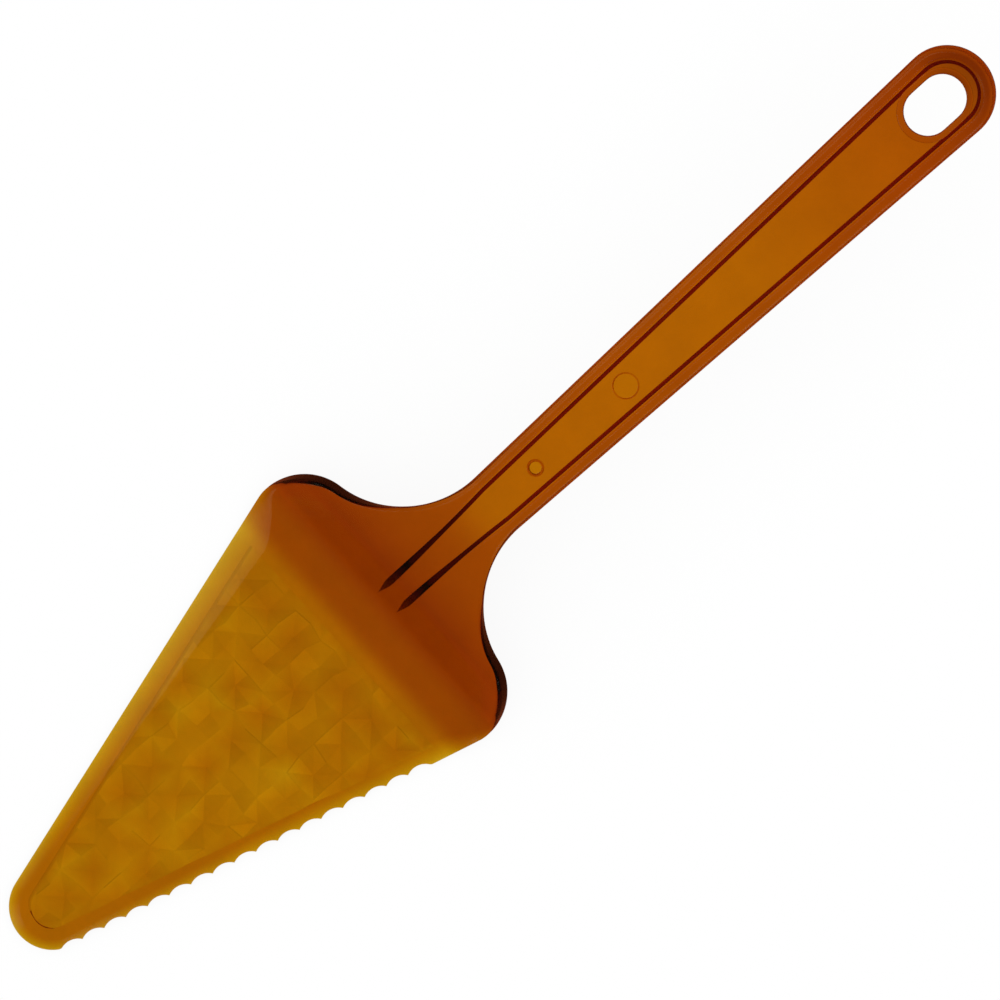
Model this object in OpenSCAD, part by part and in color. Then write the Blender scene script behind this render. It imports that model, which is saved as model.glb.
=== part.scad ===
// Cake server: a translucent moulding with a scalloped blade, a cranked shoulder and a railed handle.
// Millimetres. The tip points to -X, the handle end to +X, and the blade lies on z = 0.
// The sketch runs along x from the tip, and the finished part is moved to the middle of its length.

/* [Blade] */
// Length in plan, from the tip to the end of the handle
overall_l = 270; // [255:1:290]
// Width across the shoulders
blade_w = 69; // [62:0.5:76]
// Thickness of the plate inside the bevel
blade_t = 2; // [1.7:0.1:2.4]
// Radius of the rounded tip
tip_r = 9.1; // [7.5:0.1:11]
// Thickness left at the bevelled edge
edge_t = 0.95; // [0.8:0.05:1.2]
// Width of the bevel round the tip
tip_bevel_w = 2.2; // [1.2:0.1:3.5]
// Width of the bevel at the heel, on the plain side
bevel_w = 7; // [5:0.1:8]
// Width of the bevel at the heel, on the scalloped side
tooth_bevel_w = 4.2; // [3:0.1:5]

/* [Scalloped edge] */
// Spacing of the scallops along the edge
tooth_pitch = 5.06; // [4:0.02:6]
// Radius of a scallop
tooth_r = 4; // [3.6:0.1:5]
// Depth of a scallop below the edge line
tooth_depth = 1.1; // [0.7:0.05:1.3]
// Length of the scalloped stretch
tooth_run = 86; // [60:1:88]

/* [Pyramid field] */
// Pitch of the square pyramids
cell = 8; // [6:0.5:10]
// Height of a pyramid
cell_h = 0.35; // [0.2:0.05:0.5]
// Margin left plain along the straight edge and the tip
field_m = 4.6; // [4:0.1:6]
// Margin left plain behind the scallops
field_tooth_m = 3.4; // [2.8:0.1:5]
// Margin left plain at the heel
field_heel_m = 0.8; // [0.5:0.1:3]

/* [Crank] */
// Place along the blade where its top starts to rise
heel_x = 91; // [88:0.1:93]
// Thickness at the foot of the ramp
heel_t = 2.9; // [2.5:0.1:3.3]
// Place along the blade where the underside starts to rise
crank_x = 98; // [96.5:0.1:99.5]
// Radius of the underside at the foot of the ramp
bend_r = 9; // [7:0.5:11]
// Slope of the ramp
ramp_a = 52; // [44:1:56]
// Plan length of the straight part of the ramp
ramp_l = 4.5; // [3:0.1:6]
// Radius of the underside at the top of the ramp
knee_r = 14; // [11:0.5:17]
// Thickness of the ramp
ramp_t = 3.2; // [2.8:0.1:3.6]

/* [Shoulder plan] */
// Radius of the rounded shoulders
shoulder_r = 11.8; // [10:0.1:14]
// Place along the blade of the shoulder radius
shoulder_x = 100.8; // [99:0.1:103]
// Radius of the flare from the shoulders to the neck
flare_r = 21.8; // [19:0.1:24]
// Width of the neck
neck_w = 13.9; // [12.5:0.1:15.5]

/* [Handle] */
// Slope of the handle
handle_a = 8; // [4:0.5:12]
// Radius of the handle end
end_r = 10.1; // [9.5:0.1:12]
// Thickness of the rails
rail_t = 3; // [2.6:0.1:3.6]
// Width of a rail with its rib at the neck
rail_neck_w = 3.4; // [2.8:0.1:3.8]
// Width of a rail with its rib round the handle end
rail_end_w = 3.8; // [3.4:0.1:4.2]
// Thickness of the recessed panel
panel_t = 2.3; // [1.8:0.1:2.4]
// Slope of a rail's inner wall from upright
wall_a = 36; // [8:1:45]
// Rounding of the shoulder's upper edge
rail_top_r = 1.1; // [0.8:0.1:1.3]
// Width over which the top of a rail falls towards its outer face
crown_w = 1.8; // [1:0.1:2.2]
// Height by which the top of a rail falls
crown_h = 1.2; // [0.8:0.1:1.5]
// Rounding of a rail's lower outer edge
rail_low_r = 0.5; // [0.3:0.1:0.8]
// Place along the shoulder where the recess between the rails runs out
recess_x = 119; // [114:0.5:123]

/* [Ribs] */
// Depth of the stiffening ribs under the rails
rib_d = 4.2; // [2:0.1:5]
// Depth of a rib under the ramp
rib_ramp_d = 5.2; // [3:0.1:6]
// Thickness of a rib along the handle
rib_t = 0.85; // [0.6:0.05:1]
// Thickness of a rib under the ramp
rib_ramp_t = 1.9; // [1.4:0.1:2.2]
// Place along the ramp where the ribs start
rib_x = 104.3; // [102:0.1:106]
// Distance of a rib from the middle line where it starts
rib_y = 2.85; // [2.5:0.05:3.2]
// Length over which a rib grows from its pointed start
rib_run = 6; // [4:0.5:9]

/* [Hanging loop] */
// Width of the slot
slot_w = 10; // [8:0.1:11]
// Length of the slot
slot_l = 14.4; // [12:0.1:18]
// Distance from the slot to the handle end
slot_gap = 6.3; // [5.8:0.1:9]
// Length of panel kept in front of the slot
loop_land = 4; // [2:0.5:8]

/* [Moulding marks] */
// Distance of the gate mark from the neck
gate_x = 11.5; // [6:0.5:20]
// Diameter of the gate mark
gate_d = 2.7; // [2:0.1:3.5]
// Depth of the gate mark
gate_depth = 0.35; // [0.2:0.05:0.6]
// Distance of the ejector mark from the neck
ejector_x = 37; // [28:0.5:50]
// Diameter of the ejector mark
ejector_d = 5.3; // [4:0.1:6]
// Depth of the ejector mark
ejector_depth = 0.15; // [0.1:0.05:0.3]

/* [Hidden] */
$fn = 96;
// Distance by which a cutter runs past the face it leaves
over = 1;
// Height of the pyramid tips above the resting plane
field_lift = 0.06;
// Rounding at the very start of the shoulder, where the blade's lower edge is sharp
least_r = 0.05;
// Least run of the recess wall, least flat width on a rail, and the power of the curve of a rail's top
least_wall = 0.05;
least_flat = 0.1;
crown_p = 1.3;
// Draft of the ribs, their share of size at the pointed start, and how far they reach up into the ramp
rib_draft_a = 2;
rib_point = 0.1;
rib_root = 1;
// Number of steps along each curve of a loft and round each edge
steps = 18;
edge_steps = 4;

// Side of the blade: the common tangent of the tip circle and the shoulder circle
shoulder_y = blade_w / 2 - shoulder_r;
tip_to_shoulder = norm([shoulder_x - tip_r, shoulder_y]);
side_a = atan2(shoulder_y, shoulder_x - tip_r) + asin((shoulder_r - tip_r) / tip_to_shoulder);
side_end_x = shoulder_x - shoulder_r * sin(side_a);

// Flare: a circle that touches the shoulder circle and the side of the neck
neck_y = neck_w / 2;
flare_y = neck_y + flare_r;
flare_x = shoulder_x + sqrt(pow(shoulder_r + flare_r, 2) - pow(flare_y - shoulder_y, 2));
flare_a = atan2(flare_y - shoulder_y, flare_x - shoulder_x);
flare_start_x = shoulder_x + shoulder_r * cos(flare_a);

// Underside of the crank, seen from the side
bend_end = [crank_x + bend_r * sin(ramp_a), bend_r * (1 - cos(ramp_a))];
knee_start = bend_end + [ramp_l, ramp_l * tan(ramp_a)];
knee_c = knee_start + knee_r * [sin(ramp_a), -cos(ramp_a)];
knee_end = knee_c + knee_r * [-sin(handle_a), cos(handle_a)];

// Handle in its own tilted frame, with its start at the neck
neck_z = knee_end[1] + (flare_x - knee_end[0]) * tan(handle_a);
handle_l = (overall_l - flare_x + rail_low_r * sin(handle_a)) / cos(handle_a);
end_x = handle_l - end_r;
taper_a = asin(end_r / norm([end_x, neck_y])) - atan2(neck_y, end_x);
slot_x = handle_l - slot_gap - slot_w / 2;
slot_straight = slot_l - slot_w;
loop_x = slot_x - slot_straight - slot_w / 2 - loop_land;

// Plan width of a rail's inner wall, and of the falling part of its top, kept apart on a narrow rail
wall_w = min((rail_t - panel_t) * tan(wall_a), rail_neck_w - rib_t - 1);
fall_w = min(crown_w, rail_neck_w - rib_t - wall_w - least_flat);

end_turn = [for (i = [0 : steps]) (90 + taper_a) * (2 * i / steps - 1)];

// Smooth step from 0 at a to 1 at b
function ease(x, a, b) =
    let (t = min(1, max(0, (x - a) / (b - a))))
    t * t * (3 - 2 * t);

// Value that runs from p to q as t runs from 0 to 1
function mix(p, q, t) = p * (1 - t) + q * t;

// Height of the blade's side line at x when it is moved in by m
function side_y(x, m) =
    (tip_r - m) / cos(side_a) + (x - tip_r) * tan(side_a);

// Plan of the blade up to x, moved in by m on the plain side, m2 on the scalloped side and m3 at the tip
function blade_plan(x, m, m2, m3) =
    concat(
        [[x, -side_y(x, m2)], [x, side_y(x, m)]],
        [for (i = [0 : steps])
            let (a = 90 + side_a + (180 - 2 * side_a) * i / steps)
            [tip_r + (tip_r - m3) * cos(a), (tip_r - m3) * sin(a)]]);

// Slope of the underside at x
function slope(x) =
    x <= crank_x ? 0 :
    x <= bend_end[0] ? asin((x - crank_x) / bend_r) :
    x <= knee_start[0] ? ramp_a :
    x <= knee_end[0] ? asin((knee_c[0] - x) / knee_r) :
    handle_a;

// Height of the underside at x
function under(x) =
    x <= crank_x ? 0 :
    x <= bend_end[0] ? bend_r * (1 - cos(slope(x))) :
    x <= knee_start[0] ? bend_end[1] + (x - bend_end[0]) * tan(ramp_a) :
    x <= knee_end[0] ? knee_c[1] + knee_r * cos(slope(x)) :
    knee_end[1] + (x - knee_end[0]) * tan(handle_a);

// Half width of the shoulder in plan
function half_w(x) =
    x <= side_end_x ? side_y(x, 0) :
    x <= flare_start_x ? shoulder_y + sqrt(pow(shoulder_r, 2) - pow(x - shoulder_x, 2)) :
    flare_y - sqrt(max(0, pow(flare_r, 2) - pow(flare_x - x, 2)));

// Thickness of the shoulder, and of what the recess leaves of it
function thick(x) =
    mix(blade_t, heel_t, ease(x, heel_x, crank_x))
    + (ramp_t - heel_t) * ease(x, crank_x, bend_end[0])
    + (rail_t - ramp_t) * ease(x, knee_start[0], flare_x);
function floor_t(x) = mix(thick(x), panel_t, ease(x, recess_x, flare_x));

// Inner and outer face of a rib at its root: it leans out from the ramp to the rail
function rib_s(x) = pow(min(1, max(0, (x - rib_x) / (flare_x - rib_x))), 2);
function rib_in(x) = mix(rib_y - rib_ramp_t / 2, neck_y - rail_neck_w, rib_s(x));
function rib_out(x) = mix(rib_y + rib_ramp_t / 2, neck_y - rail_neck_w + rib_t, rib_s(x));

// Point q, as a distance from the middle and a height, stood square to the underside at x
function stood(x, q) =
    [x - q[1] * sin(slope(x)), q[0], under(x) + q[1] * cos(slope(x))];

// Half of a cross-section of the shoulder with a bevel of width b, from the underside round to the recess
function half_ring(x, b) =
    let (w = half_w(x),
         t = thick(x),
         f = ease(x, heel_x, bend_end[0]),
         g = ease(x, knee_end[0], flare_x),
         low = mix(least_r, rail_low_r, f),
         side = mix(b / cos(side_a), mix(rail_top_r, fall_w, g), f),
         drop = mix(blade_t - edge_t, mix(rail_top_r, crown_h, g), f),
         wall = wall_w * (t - floor_t(x)) / (rail_t - panel_t))
    concat(
        [for (i = [0 : edge_steps])
            let (a = 90 * i / edge_steps)
            [w - low + low * sin(a), low - low * cos(a)]],
        [for (i = [0 : edge_steps])
            let (a = 90 * i / edge_steps,
                 s = i / edge_steps,
                 inset = mix(s, mix(1 - cos(a), s, g), f),
                 up = mix(s, mix(sin(a), 1 - pow(1 - s, crown_p), g), f))
            [w - side * inset, t - drop * (1 - up)]],
        [[rib_out(x) + max(least_wall, wall), t],
         [rib_out(x), floor_t(x)]]);

// Whole cross-section of the shoulder at x
function ring(x) =
    let (plain = half_ring(x, bevel_w),
         toothed = half_ring(x, tooth_bevel_w),
         n = len(plain))
    [for (q = concat(plain, [for (i = [n - 1 : -1 : 0]) [-toothed[i][0], toothed[i][1]]])) stood(x, q)];

// Cross-section of the rib on the +Y side at x, from its root inside the ramp down to its edge
function rib_ring(x) =
    let (e = mix(rib_point, 1, ease(x, rib_x, rib_x + rib_run)),
         c = (rib_in(x) + rib_out(x)) / 2,
         half = (rib_out(x) - rib_in(x)) / 2 * e,
         deep = mix(rib_ramp_d, rib_d, rib_s(x)) * e,
         low = half - deep * tan(rib_draft_a),
         high = half + rib_root * tan(rib_draft_a))
    [for (q = [[c + low, -deep], [c + high, rib_root], [c - high, rib_root], [c - low, -deep]])
        stood(x, q)];

// Cross-section of a rail of width w with its rib: distances in from its outer face and up from its foot
function rail_section(w) =
    concat(
        [for (i = [edge_steps : -1 : 0])
            let (a = 90 * i / edge_steps)
            rail_low_r * [1 - sin(a), 1 - cos(a)]],
        [[w - rib_t, 0],
         [w - rib_t + rib_d * tan(rib_draft_a), -rib_d],
         [w - rib_d * tan(rib_draft_a), -rib_d],
         [w, 0],
         [w, panel_t],
         [w - rib_t, panel_t],
         [w - rib_t - wall_w, rail_t]],
        [for (i = [edge_steps : -1 : 0])
            let (s = i / edge_steps)
            [fall_w * s, rail_t - crown_h * pow(1 - s, crown_p)]]);

// Cross-section of the left rail at x, square to the handle, and at the angle a round the handle end
function rail_at(x) =
    let (t = x / (end_x - end_r * sin(taper_a)))
    [for (q = rail_section(mix(rail_neck_w, rail_end_w, t)))
        [x, q[0] - mix(neck_y, end_r * cos(taper_a), t), q[1]]];
function rail_round(a) =
    [for (q = rail_section(rail_end_w))
        [end_x + (end_r - q[0]) * cos(a), (end_r - q[0]) * sin(a), q[1]]];
function mirrored(ring) =
    [for (q = ring) [q[0], -q[1], q[2]]];

// Half width of the panel at x
function panel_y(x) =
    let (t = x / (end_x - end_r * sin(taper_a)))
    mix(neck_y - rail_neck_w, end_r * cos(taper_a) - rail_end_w, t);

// Solid through a row of matching cross-sections, each clockwise as seen along the row
module loft(rings) {
    m = len(rings);
    n = len(rings[0]);
    polyhedron(
        points = [for (r = rings) for (q = r) q],
        faces = concat(
            [[for (j = [0 : n - 1]) j]],
            [for (i = [0 : m - 2])
                for (j = [0 : n - 1])
                    let (k = (j + 1) % n)
                    [i * n + j, (i + 1) * n + j, (i + 1) * n + k]],
            [for (i = [0 : m - 2])
                for (j = [0 : n - 1])
                    let (k = (j + 1) % n)
                    [i * n + j, (i + 1) * n + k, i * n + k]],
            [[for (j = [n - 1 : -1 : 0]) (m - 1) * n + j]]));
}

// Moves the sketch from the tip to the middle of the length
module centred() {
    translate([-overall_l / 2, 0, 0])
        children();
}

// Puts a part drawn along x from the neck onto the slope of the handle
module on_handle() {
    centred()
        translate([flare_x, 0, neck_z])
            rotate([0, -handle_a, 0])
                children();
}

// Row of round cutters along the edge on the -Y side
module scallops() {
    count = round(tooth_run / tooth_pitch);
    translate([tip_r, 0, -over])
        rotate([0, 0, -side_a])
            for (i = [0 : count - 1])
                translate([i * tooth_pitch, -tip_r - tooth_r + tooth_depth, 0])
                    cylinder(h = blade_t + 2 * over, r = tooth_r);
}

// Zigzag profile of n cells, high at the joins between them
module zigzag(n) {
    polygon(concat(
        [[0, -over]],
        [for (i = [0 : 2 * n]) [i * cell / 2, field_lift + (i % 2 == 0 ? cell_h : 0)]],
        [[n * cell, -over]]));
}

// Crossed grooves that leave square pyramids pointing down, with a row of them on the middle line
module pyramid_cutter() {
    across = 2 * ceil(blade_w / cell / 2) + 1;
    along = ceil(heel_x / cell) + 1;
    intersection() {
        translate([0, 0, -over])
            linear_extrude(height = blade_t + over)
                polygon(blade_plan(heel_x - field_heel_m, field_m, field_tooth_m, field_m));
        union() {
            translate([0, -across * cell / 2, 0])
                rotate([90, 0, 90])
                    linear_extrude(height = along * cell)
                        zigzag(across);
            translate([0, across * cell / 2, 0])
                rotate([90, 0, 0])
                    linear_extrude(height = across * cell)
                        zigzag(along);
        }
    }
}

module blade() {
    outline = blade_plan(heel_x, 0, 0, 0);
    crown = blade_plan(heel_x, bevel_w, tooth_bevel_w, tip_bevel_w);
    color([0.66, 0.41, 0.02])
        centred()
            difference() {
                loft([
                    [for (q = outline) [q[0], q[1], 0]],
                    [for (q = outline) [q[0], q[1], edge_t]],
                    [for (q = crown) [q[0], q[1], blade_t]]]);
                scallops();
                pyramid_cutter();
            }
}

module shoulder() {
    along_side = [for (i = [0 : 5]) mix(heel_x, side_end_x, i / 6)];
    round_shoulder = [for (i = [0 : steps])
        shoulder_x + shoulder_r * cos(mix(90 + side_a, flare_a, i / steps))];
    along_flare = [for (i = [1 : steps])
        flare_x + flare_r * cos(mix(180 + flare_a, 270, i / steps))];
    along_rib = [for (i = [0 : steps]) mix(rib_x, flare_x, i / steps)];
    color([0.53, 0.18, 0.02])
        centred() {
            loft([for (x = concat(along_side, round_shoulder, along_flare)) ring(x)]);
            loft([for (x = along_rib) rib_ring(x)]);
            mirror([0, 1, 0])
                loft([for (x = along_rib) rib_ring(x)]);
        }
}

// Rail on the -Y side, from the neck to the hanging loop
module rail() {
    color([0.62, 0.29, 0.04])
        loft([rail_at(0), rail_at(loop_x)]);
}

module left_rail() {
    on_handle()
        rail();
}

module right_rail() {
    on_handle()
        mirror([0, 1, 0])
            rail();
}

module handle_panel() {
    color([0.7, 0.38, 0.03])
        on_handle()
            difference() {
                linear_extrude(height = panel_t)
                    polygon([
                        [0, -panel_y(0)],
                        [loop_x, -panel_y(loop_x)],
                        [loop_x, panel_y(loop_x)],
                        [0, panel_y(0)]]);
                translate([gate_x, 0, panel_t - gate_depth])
                    cylinder(h = gate_depth + over, d = gate_d);
                translate([ejector_x, 0, panel_t - ejector_depth])
                    cylinder(h = ejector_depth + over, d = ejector_d);
            }
}

// Plan of the hanging slot
module slot_plan() {
    translate([slot_x, 0])
        circle(d = slot_w);
    translate([slot_x - slot_straight, 0])
        circle(d = slot_w);
    translate([slot_x - slot_straight, -slot_w / 2])
        square([slot_straight, slot_w]);
}

// Floor of the hanging loop, carried half way under the rail that goes round it
module loop_floor() {
    lap = rail_end_w / 2;
    linear_extrude(height = panel_t)
        polygon(concat(
            [[loop_x + lap, panel_y(loop_x) + lap],
             [loop_x, panel_y(loop_x)],
             [loop_x, -panel_y(loop_x)],
             [loop_x + lap, -panel_y(loop_x) - lap]],
            [for (a = end_turn) [end_x, 0] + (end_r - lap) * [cos(a), sin(a)]]));
}

module hanging_loop() {
    color([0.6, 0.27, 0.04])
        on_handle()
            difference() {
                union() {
                    loft(concat(
                        [rail_at(loop_x)],
                        [for (a = end_turn) rail_round(a)],
                        [mirrored(rail_at(loop_x))]));
                    loop_floor();
                }
                translate([0, 0, -over])
                    linear_extrude(height = rail_t + 2 * over)
                        slot_plan();
            }
}

blade();
shoulder();
left_rail();
right_rail();
handle_panel();
hanging_loop();
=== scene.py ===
# %% [markdown]
# # An amber cake server
#
# The real server is one moulding of see-through amber plastic: a wedge blade with a scalloped edge, a
# cranked shoulder, and a handle with two rails round a sunken panel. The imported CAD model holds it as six
# solids that meet face to face. Light would bend at each of those inner faces, so here one closed skin
# stands for all six. It is made flat first, as a blank, and then bent along the same line as the CAD
# model's underside.

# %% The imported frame
import math
import random

import bmesh
import bpy
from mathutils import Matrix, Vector


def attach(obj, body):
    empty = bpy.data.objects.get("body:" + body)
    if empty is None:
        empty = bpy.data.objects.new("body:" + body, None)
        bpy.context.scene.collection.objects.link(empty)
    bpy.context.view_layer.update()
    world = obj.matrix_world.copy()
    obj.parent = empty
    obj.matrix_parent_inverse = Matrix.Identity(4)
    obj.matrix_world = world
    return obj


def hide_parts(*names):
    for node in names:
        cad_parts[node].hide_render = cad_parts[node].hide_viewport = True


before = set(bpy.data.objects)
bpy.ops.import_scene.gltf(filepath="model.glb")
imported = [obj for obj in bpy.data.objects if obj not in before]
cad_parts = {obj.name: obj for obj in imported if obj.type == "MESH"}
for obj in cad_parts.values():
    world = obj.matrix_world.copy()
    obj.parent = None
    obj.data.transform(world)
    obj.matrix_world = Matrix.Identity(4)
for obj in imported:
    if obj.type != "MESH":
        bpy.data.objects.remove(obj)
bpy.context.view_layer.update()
print("frame nodes:", sorted(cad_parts))

# %% [markdown]
# ## Sizes
#
# All sizes are in millimetres along the blank, measured from the tip. They repeat the values of the CAD
# source. Only the fine finish differs, by a few tenths of a millimetre: the pyramids, the blade's heel, the
# crown of the rails, the ribs under the ramp and the rim of the hanging slot. The sizes of the plan and of
# the bend come first, because many points follow from them. Every other size stands in the step that first
# needs it.

# %% Sizes of the plan and the bend
overall_l, blade_w, tip_r = 270.0, 69.0, 9.1
crank_x, bend_r, ramp_a, ramp_l, knee_r = 98.0, 9.0, math.radians(52), 4.5, 14.0
shoulder_r, shoulder_x, flare_r, neck_w = 11.8, 100.8, 21.8, 13.9
handle_a, end_r, rail_low_r = math.radians(8), 10.1, 0.5
print(f"{overall_l:.0f} mm long and {blade_w:.0f} mm wide")

# %% Points that follow from the sizes
shoulder_y = blade_w / 2 - shoulder_r
side_a = math.atan2(shoulder_y, shoulder_x - tip_r) + math.asin(
    (shoulder_r - tip_r) / math.hypot(shoulder_x - tip_r, shoulder_y))
side_end_x = shoulder_x - shoulder_r * math.sin(side_a)
neck_y = neck_w / 2
flare_y = neck_y + flare_r
flare_x = shoulder_x + math.sqrt((shoulder_r + flare_r) ** 2 - (flare_y - shoulder_y) ** 2)
flare_a = math.atan2(flare_y - shoulder_y, flare_x - shoulder_x)
flare_start_x = shoulder_x + shoulder_r * math.cos(flare_a)
bend_end = Vector((crank_x + bend_r * math.sin(ramp_a), bend_r * (1 - math.cos(ramp_a))))
knee_start = bend_end + Vector((ramp_l, ramp_l * math.tan(ramp_a)))
knee_c = knee_start + knee_r * Vector((math.sin(ramp_a), -math.cos(ramp_a)))
knee_end = knee_c + knee_r * Vector((-math.sin(handle_a), math.cos(handle_a)))
neck_z = knee_end.y + (flare_x - knee_end.x) * math.tan(handle_a)
handle_l = (overall_l - flare_x + rail_low_r * math.sin(handle_a)) / math.cos(handle_a)
end_x = flare_x + handle_l - end_r
taper_a = math.asin(end_r / math.hypot(end_x - flare_x, neck_y)) - math.atan2(neck_y, end_x - flare_x)
rail_stop_x = end_x - end_r * math.sin(taper_a)
print(f"neck at {flare_x:.1f} mm, {neck_z:.1f} mm high; handle {handle_l:.1f} mm long")

# %% [markdown]
# ## The line of the underside, and the bend
#
# The real shoulder is cranked, so that a hand on the handle stays clear of the table. A lattice or a Simple
# Deform modifier could bend a flat mesh, but neither follows given radii. A press brake folds a flat blank
# over a radius, and the functions here do the same to the mesh: they give the slope and the height of the
# underside at each place, and a point of the blank keeps its distance from that line.


# %% Slope, height and the bend
def ease(x, a, b):
    """Rises smoothly from 0 at a to 1 at b."""
    t = min(1.0, max(0.0, (x - a) / (b - a)))
    return t * t * (3 - 2 * t)


def mix(p, q, t):
    """From p where t is 0 to q where it is 1."""
    return p * (1 - t) + q * t


def slope(x):
    """Angle of the underside at x."""
    if x <= crank_x:
        return 0.0
    if x <= bend_end.x:
        return math.asin((x - crank_x) / bend_r)
    if x <= knee_start.x:
        return ramp_a
    if x <= knee_end.x:
        return math.asin((knee_c.x - x) / knee_r)
    return handle_a


def under(x):
    """Height of the underside at x."""
    if x <= crank_x:
        return 0.0
    if x <= bend_end.x:
        return bend_r * (1 - math.cos(slope(x)))
    if x <= knee_start.x:
        return bend_end.y + (x - bend_end.x) * math.tan(ramp_a)
    if x <= knee_end.x:
        return knee_c.y + knee_r * math.cos(slope(x))
    return knee_end.y + (x - knee_end.x) * math.tan(handle_a)


def bent(co):
    """A point of the blank in its final place, in metres. Past the neck, x is measured along the handle."""
    x, y, h = co
    if x > flare_x:
        x = flare_x + (x - flare_x) * math.cos(handle_a)
    a = slope(x)
    return Vector((x - h * math.sin(a) - overall_l / 2, y, under(x) + h * math.cos(a))) / 1000


print("handle end at", [round(v, 4) for v in bent((end_x + end_r, 0, 0))])

# %% [markdown]
# ## The outline
#
# Seen from above, the edge runs once round the server: down the plain side of the blade, round the tip,
# along the scallops, round the shoulder and flare, along the handle and back. A curve could draw it, but
# the edge changes its section on the way. So the outline is a row of stops, and each stop has a place, a
# direction that points inwards, and a thickness. The scallops are round bites, so a stop that lies inside
# one moves in to its rim.

# %% Widths and thicknesses along the outline
blade_t, heel_t, ramp_t, rail_t, panel_t = 2.0, 2.9, 3.2, 3.0, 2.3
heel_x, heel_full_x, recess_x = 91.0, crank_x - 2, 119.0


def side_y(x, m):
    """Half the width between the blade's straight sides, less a margin m on each."""
    return (tip_r - m) / math.cos(side_a) + (x - tip_r) * math.tan(side_a)


def half_w(x):
    """Half the width of the plan at x."""
    if x <= side_end_x:
        return side_y(x, 0)
    if x <= flare_start_x:
        return shoulder_y + math.sqrt(shoulder_r ** 2 - (x - shoulder_x) ** 2)
    if x <= flare_x:
        return flare_y - math.sqrt(max(0.0, flare_r ** 2 - (flare_x - x) ** 2))
    return mix(neck_y, end_r * math.cos(taper_a), (x - flare_x) / (rail_stop_x - flare_x))


def thick(x):
    """Thickness of the plastic at x, away from the recess."""
    return (mix(blade_t, heel_t, ease(x, heel_x, heel_full_x))
            + (ramp_t - heel_t) * ease(x, crank_x, bend_end.x)
            + (rail_t - ramp_t) * ease(x, knee_start.x, flare_x))


def floor_t(x):
    """Thickness left under the recess between the rails, which is the panel of the handle."""
    return mix(thick(x), panel_t, ease(x, recess_x, flare_x))


print(f"thickness {thick(crank_x):.1f} at the heel, {thick(knee_start.x):.1f} on the ramp, "
      f"{thick(flare_x):.1f} on the rails and {floor_t(flare_x):.1f} in the panel")

# %% Place and depth of a rib
rail_neck_w, rail_end_w = 3.4, 3.8
rib_d, rib_t, rib_ramp_d, rib_ramp_t = 4.2, 0.85, 5.2, 1.5
rib_x, rib_y, rib_run = 104.3, 2.85, 6.0
rib_grown_x, rib_slim_from, rib_slim_to = rib_x + 0.6 * rib_run, rib_x + 3, rib_x + 20


def rib_faces(x):
    """How far in from the edge a rib's outer and inner face stand, its depth, and how far it has grown."""
    if x > flare_x:
        w = mix(rail_neck_w, rail_end_w, min(1.0, (x - flare_x) / (rail_stop_x - flare_x)))
        return w - rib_t, w, rib_d, 1.0
    t = max(0.0, (x - rib_x) / (flare_x - rib_x)) ** 2
    middle = half_w(x) - mix(rib_y, neck_y - rail_neck_w + rib_t / 2, t)
    half = mix(rib_ramp_t, rib_t, ease(x, rib_slim_from, rib_slim_to)) / 2
    grown = ease(x, rib_x, rib_grown_x)
    return middle - half, middle + half, mix(rib_ramp_d, rib_d, t) * grown, grown


print(f"ribs from {rib_x:.1f} mm on, {rib_faces(rib_grown_x)[2]:.1f} mm deep under the ramp")

# %% Scallops
tooth_pitch, tooth_r, tooth_depth, tooth_run = 5.06, 4.0, 1.1, 86.0
side_sin, side_cos = math.sin(side_a), math.cos(side_a)
tooth_rims = []
for i in range(round(tooth_run / tooth_pitch)):
    along, off = i * tooth_pitch, -tip_r - tooth_r + tooth_depth
    tooth_rims.append(Vector((tip_r + along * side_cos + off * side_sin, -along * side_sin + off * side_cos)))


def bite(p, inward):
    """How far in from the edge at p the scallops reach."""
    far = 0.0
    for c in tooth_rims:
        d = p - c
        if d.length >= tooth_r:
            continue
        along = d.dot(inward)
        far = max(far, math.sqrt(along * along - d.length_squared + tooth_r ** 2) - along)
    return far


print(len(tooth_rims), "scallops")

# %% Stops round the blade
tip_bevel_w, bevel_w, tooth_bevel_w = 2.2, 7.0, 4.2
heel_gap = 0.5  # the stops end this far before the heel
first_bite_a = math.radians(250)  # from here on the first scallop reaches into the tip's arc
plain_steps, tip_steps, first_bite_steps, tooth_steps, last_steps = 14, 44, 12, 198, 5
stops = []


def spaced(a, b, n, ends=False):
    """n even steps from a to b, without b unless ends is set."""
    return [mix(a, b, i / n) for i in range(n + (1 if ends else 0))]


def stop(x, y, inward, region, station, wide=0.0):
    """Adds a stop, and how far a scallop cuts it back."""
    p = Vector((x, y))
    n = Vector(inward)
    cut = bite(p, n) if region == "blade" else 0.0
    stops.append({"p": p, "n": n, "region": region, "x": station, "cut": cut, "wide": wide})


def arc_stop(centre_x, r, a, region, station, wide=0.0):
    """A stop on a round end of the server, at the angle a."""
    stop(centre_x + r * math.cos(a), r * math.sin(a), (-math.cos(a), -math.sin(a)), region, station, wide)


def side_stop(e, side, wide):
    """A stop on a straight side of the blade, e from the tip's arc. Side is 1 for the plain one, or -1."""
    x = tip_r - tip_r * side_sin + e * side_cos
    y = side * (tip_r * side_cos + e * side_sin)
    stop(x, y, (side_sin, -side * side_cos), "blade", 0, mix(tip_bevel_w, wide, e / blade_len))


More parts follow.
